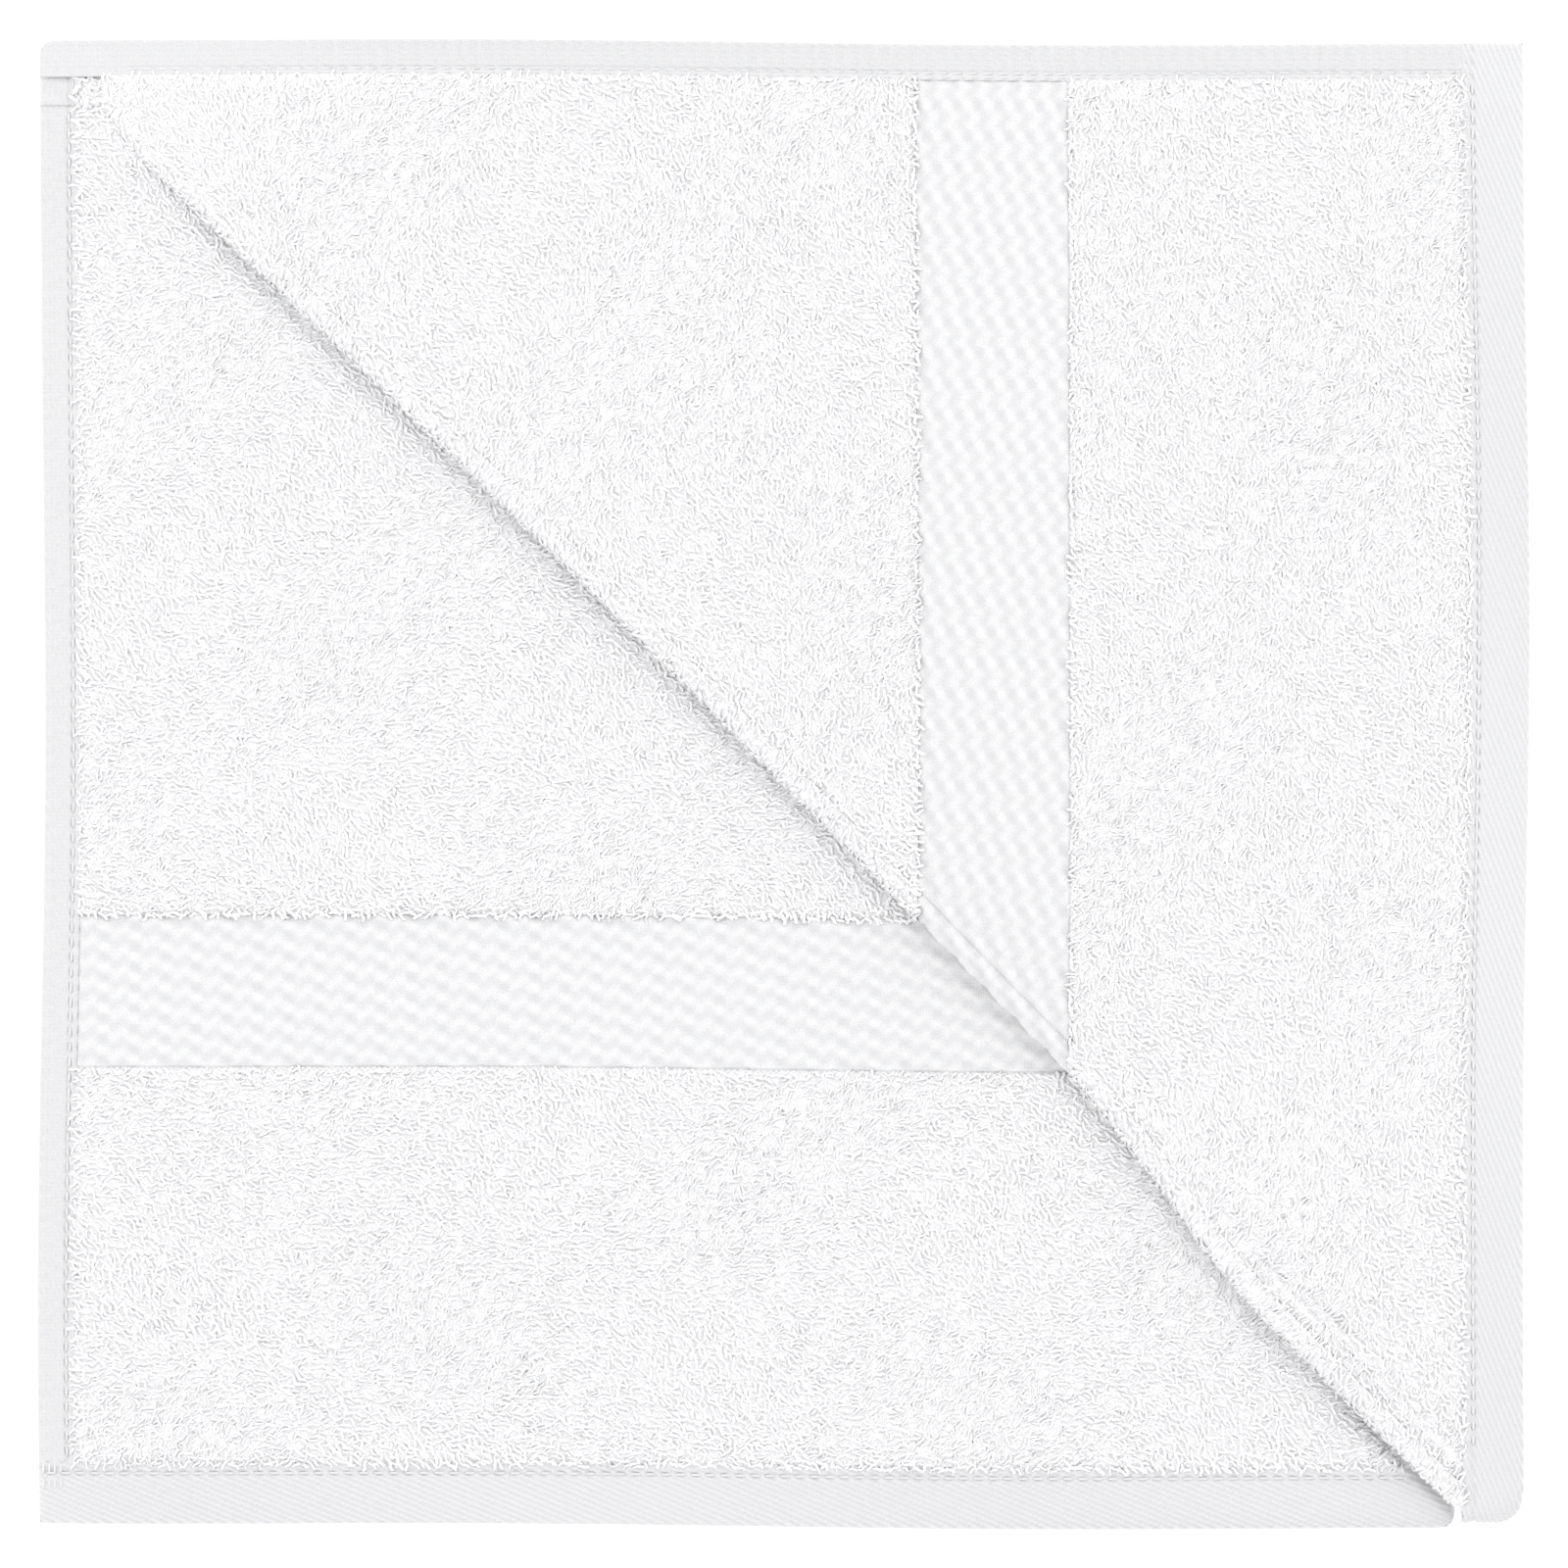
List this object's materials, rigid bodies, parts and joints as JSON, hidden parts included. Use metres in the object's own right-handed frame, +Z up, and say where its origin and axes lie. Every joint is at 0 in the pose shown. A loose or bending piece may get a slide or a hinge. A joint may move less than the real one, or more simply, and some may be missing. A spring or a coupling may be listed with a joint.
{
  "type": "folded bath towel",
  "caption": "Thick terry bath towel folded to a square packet, with one corner of the top layer turned back along the diagonal over the woven border and hems.",
  "frame": {"origin": "centre of the packet's outline, on the surface it lies on", "axes": "+Z up through the plies; +X towards the lengthwise fold; +Y towards the cross-fold wraps, away from the free ends"},
  "size_m": [0.3564, 0.3564, 0.0357],
  "materials": {
    "terry": "uncut cotton loop pile, soft white, matte",
    "dobby_border": "flat figured weave of small raised lozenges, matte",
    "hem_weave": "flat twill weave, turned and stitched, matte",
    "sewing_thread": "white polyester lockstitch thread, slight sheen"
  },
  "bodies": {
    "lower_half": {"cross_fold_1_4": "terry", "cross_fold_2_3": "terry", "ply_1_side_hem": "hem_weave", "ply_1_terry": "terry", "ply_2_side_hem": "hem_weave", "ply_2_terry": "terry", "ply_3_side_hem": "hem_weave", "ply_3_terry": "terry", "ply_4_side_hem": "hem_weave", "ply_4_terry": "terry", "side_fold_1_2": "terry", "side_fold_3_4": "terry", "wrap_1_8_lower": "terry", "wrap_2_7_lower": "terry", "wrap_3_6_lower": "terry", "wrap_4_5_lower": "terry"},
    "upper_half": {"flap_fold_roll": "terry", "hem_turn": "hem_weave", "ply_5_border": "dobby_border", "ply_5_end_hem": "hem_weave", "ply_5_end_terry": "terry", "ply_5_side_hem": "hem_weave", "ply_5_terry": "terry", "ply_6_border": "dobby_border", "ply_6_end_hem": "hem_weave", "ply_6_end_terry": "terry", "ply_6_side_hem": "hem_weave", "ply_6_terry": "terry", "ply_7_border": "dobby_border", "ply_7_end_hem": "hem_weave", "ply_7_end_hem_thread": "sewing_thread", "ply_7_end_terry": "terry", "ply_7_open_edge": "hem_weave", "ply_7_side_hem": "hem_weave", "ply_7_side_hem_thread": "sewing_thread", "ply_7_terry": "terry", "ply_8_border": "dobby_border", "ply_8_end_terry": "terry", "ply_8_terry": "terry", "side_fold_5_6": "terry", "side_fold_7_8": "terry", "wrap_1_8_upper": "terry", "wrap_2_7_upper": "terry", "wrap_3_6_upper": "terry", "wrap_4_5_upper": "terry"},
    "flap": {"flap_border": "dobby_border", "flap_end_hem": "hem_weave", "flap_end_hem_thread": "sewing_thread", "flap_end_terry": "terry", "flap_side_hem": "hem_weave", "flap_side_hem_thread": "sewing_thread", "flap_terry": "terry"}
  },
  "joints": [
    {"name": "half_fold", "type": "hinge", "parent": "lower_half", "child": "upper_half", "pos_m": [0, 0.1784, 0.01585], "axis": [-1, 0, 0], "range_deg": [0, 179]},
    {"name": "flap_fold", "type": "hinge", "parent": "upper_half", "child": "flap", "pos_m": [0.00222, 0.00222, 0.03185], "axis": [0.7071, -0.7071, 0], "range_deg": [0, 179]}
  ]
}
